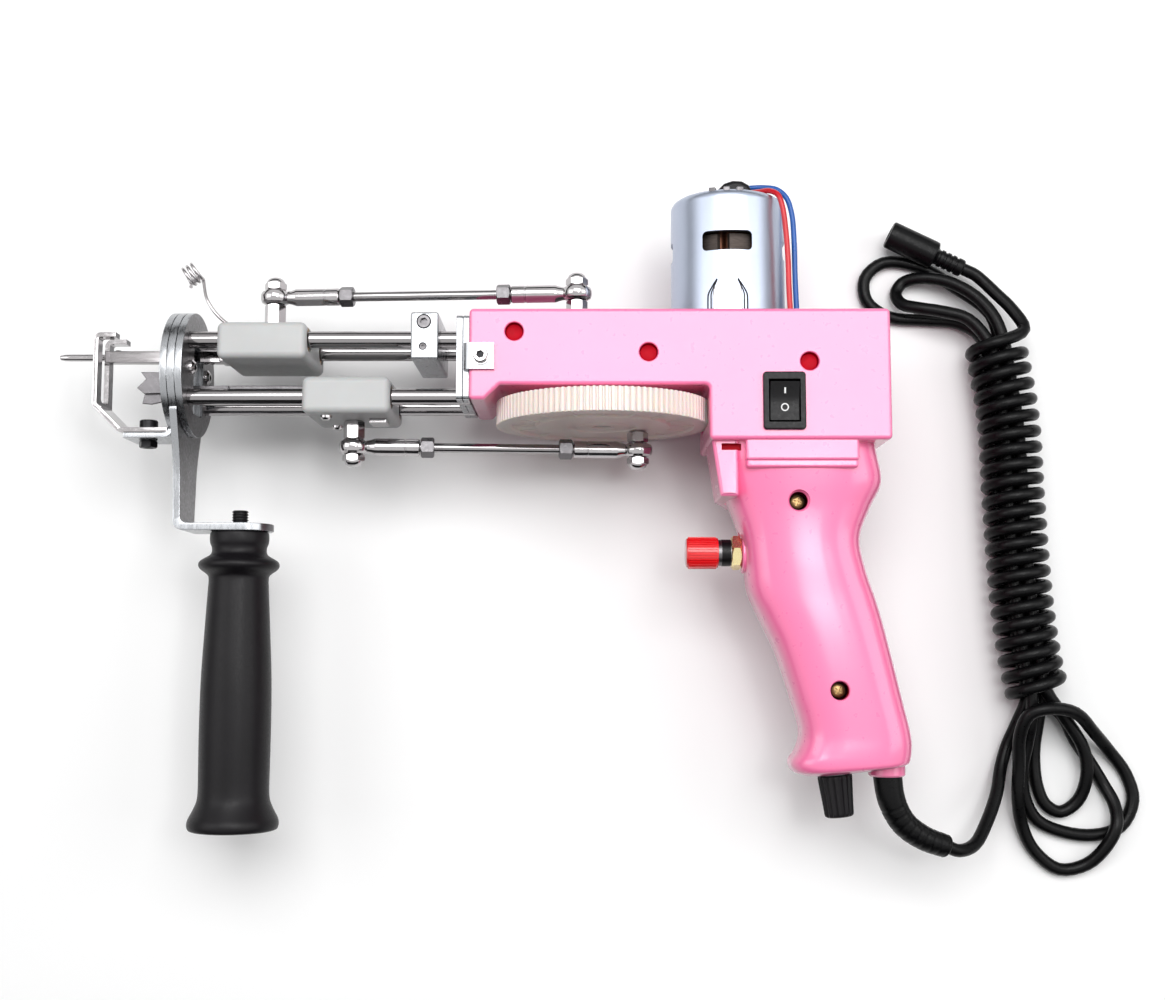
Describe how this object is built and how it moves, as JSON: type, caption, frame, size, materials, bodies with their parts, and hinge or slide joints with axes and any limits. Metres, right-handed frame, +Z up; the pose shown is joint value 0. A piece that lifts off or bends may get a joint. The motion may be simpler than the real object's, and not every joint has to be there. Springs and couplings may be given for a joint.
{
  "type": "handheld tufting machine",
  "caption": "Handheld tufting machine with a geared crank drive, sliding needle and scissor carriages on guide rods, a pistol grip, a front handle and a cord bound in a hank.",
  "frame": {"origin": "under the middle of the machine without its cord, on the table it lies on", "axes": "+X from the needle towards the back of the grip, +Y from the grip towards the motor, +Z up from the table, out of the side with the switch"},
  "size_m": [0.4072, 0.2592, 0.0782],
  "materials": {
    "pink_shell": "glossy",
    "zinc": "satin",
    "steel": "polished",
    "dull_steel": "satin",
    "aluminium": "satin",
    "nylon": "satin",
    "ivory": "satin",
    "black_plastic": "glossy",
    "soft_black": "satin",
    "black_cord": "satin",
    "red_cap": "glossy",
    "red_wire": "satin",
    "blue_wire": "satin",
    "brass": "polished",
    "copper": "dull"
  },
  "bodies": {
    "root": {"housing_near": "pink_shell", "housing_far": "pink_shell", "housing_screw_1": "dull_steel", "housing_screw_2": "dull_steel", "housing_screw_3": "dull_steel", "housing_screw_4": "dull_steel", "housing_screw_5": "dull_steel", "motor_can": "zinc", "motor_end_cap": "soft_black", "wire_blue": "blue_wire", "wire_red": "red_wire", "upper_bearing": "steel", "lower_bearing": "steel", "guide_rod_1": "steel", "guide_rod_2": "steel", "guide_rod_3": "steel", "guide_rod_4": "steel", "outer_plate": "aluminium", "inner_plate": "aluminium", "tab_screw": "dull_steel", "rear_disc": "aluminium", "handle_bracket": "aluminium", "front_disc": "aluminium", "foot_screw": "dull_steel", "stop_block": "aluminium", "front_handle": "soft_black", "handle_stud": "steel", "rocker_frame": "black_plastic", "trigger_barrel": "brass", "cord_sleeve": "black_cord", "cord_lead": "black_cord", "cord_hank": "black_cord", "cord_connector": "black_cord"},
    "drive": {"drive_gear": "ivory", "gear_shaft": "steel", "crank_disc": "dull_steel"},
    "rotor": {"motor_armature": "copper", "motor_pinion": "brass"},
    "needle_carriage": {"upper_carriage": "nylon", "needle_bar": "steel", "needle": "steel", "upper_front_stud": "steel", "yarn_guide": "steel"},
    "scissor_carriage": {"lower_carriage": "nylon", "scissor_bar": "steel", "fixed_blade": "steel", "lower_front_stud": "steel"},
    "upper_rod": {"upper_front_end": "steel", "upper_link_rod": "dull_steel", "upper_rear_end": "steel", "upper_rear_stud": "steel"},
    "lower_rod": {"lower_front_end": "steel", "lower_link_rod": "dull_steel", "lower_rear_end": "steel", "lower_rear_stud": "steel"},
    "blade": {"moving_blade": "steel"},
    "trigger": {"trigger_button": "red_cap"},
    "rocker_key": {"rocker": "black_plastic"},
    "knob": {"speed_knob": "black_plastic"},
    "foot": {"presser_foot": "steel"}
  },
  "joints": [
    {"name": "gear_spin", "type": "hinge", "parent": "root", "child": "drive", "pos_m": [0.04597, 0.0313, 0.03909], "axis": [0, 1, 0], "continuous": true},
    {"name": "rotor_spin", "type": "hinge", "parent": "root", "child": "rotor", "pos_m": [0.09252, 0.0313, 0.03909], "axis": [0, 1, 0], "continuous": true},
    {"name": "upper_slide", "type": "slide", "parent": "root", "child": "needle_carriage", "axis": [1, 0, 0], "range_m": [-0.0022, 0.0208]},
    {"name": "lower_slide", "type": "slide", "parent": "root", "child": "scissor_carriage", "axis": [1, 0, 0], "range_m": [-0.0294, 0.0031]},
    {"name": "upper_rod_swing", "type": "hinge", "parent": "needle_carriage", "child": "upper_rod", "pos_m": [-0.07562, 0.0757, 0.03909], "axis": [0, 1, 0], "range_deg": [-2.6, 9.2]},
    {"name": "lower_rod_swing", "type": "hinge", "parent": "scissor_carriage", "child": "lower_rod", "pos_m": [-0.04565, 0.0198, 0.03909], "axis": [0, 1, 0], "range_deg": [-13.7, 3.8]},
    {"name": "blade_pivot", "type": "hinge", "parent": "scissor_carriage", "child": "blade", "pos_m": [-0.11413, 0.0433, 0.03909], "axis": [0, 0, -1], "range_deg": [-1.6, 14.6]},
    {"name": "trigger_press", "type": "slide", "parent": "root", "child": "trigger", "axis": [1, 0, 0], "range_m": [0, 0.003], "stiffness_N_per_m": 500, "springref_m": -0.002},
    {"name": "rocker_tilt", "type": "hinge", "parent": "root", "child": "rocker_key", "pos_m": [0.10982, 0.03285, 0.06319], "axis": [-1, 0, 0], "range_deg": [0, 18]},
    {"name": "knob_turn", "type": "hinge", "parent": "root", "child": "knob", "pos_m": [0.12904, -0.09811, 0.03909], "axis": [0.1019, -0.9948, 0], "range_deg": [0, 270]},
    {"name": "foot_adjust", "type": "slide", "parent": "root", "child": "foot", "axis": [-1, 0, 0], "range_m": [0, 0.005]}
  ],
  "couplings": [
    {"joint": "rotor_spin", "follows": "gear_spin", "ratio": -4.7826},
    {"joint": "lower_slide", "follows": "upper_slide", "ratio": -1.3913},
    {"joint": "blade_pivot", "follows": "upper_slide", "rad_per_m": 12.1}
  ]
}
